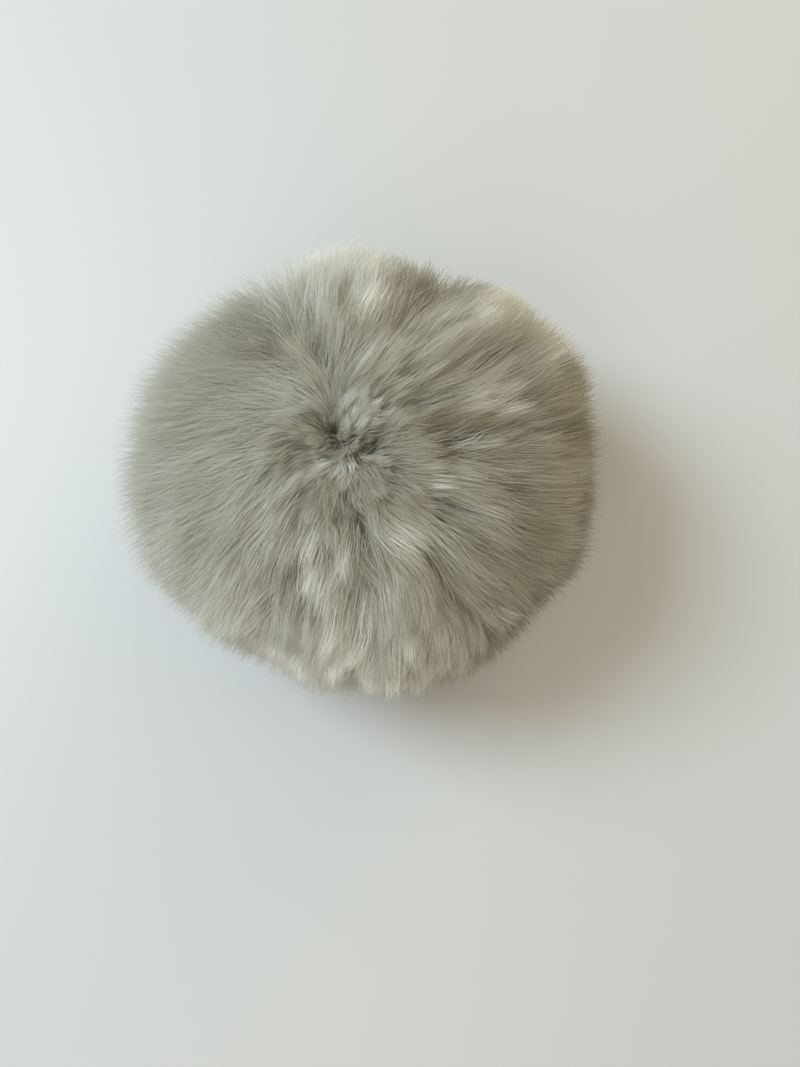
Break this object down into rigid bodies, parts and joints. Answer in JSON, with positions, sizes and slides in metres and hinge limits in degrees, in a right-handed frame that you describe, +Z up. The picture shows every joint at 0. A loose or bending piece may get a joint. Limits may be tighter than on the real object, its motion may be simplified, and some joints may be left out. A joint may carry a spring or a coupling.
{
  "type": "fur pom pom",
  "caption": "Round fluffy fur pom pom, its long soft hair bursting from a gathered whorl, lying on a small flat underside.",
  "frame": {"origin": "middle of the underside of the bounding box, on the surface that the pom pom lies on", "axes": "+Z up, away from the surface; +X to the right and +Y to the back as seen in front of the pom pom, with the main furrow running from the whorl towards the back left"},
  "size_m": [0.085, 0.0804, 0.059],
  "materials": {
    "fur": "long soft pale greige fur, matt, paler at the hair tips"
  },
  "bodies": {
    "root": {"pom_pom": "fur"}
  },
  "joints": []
}
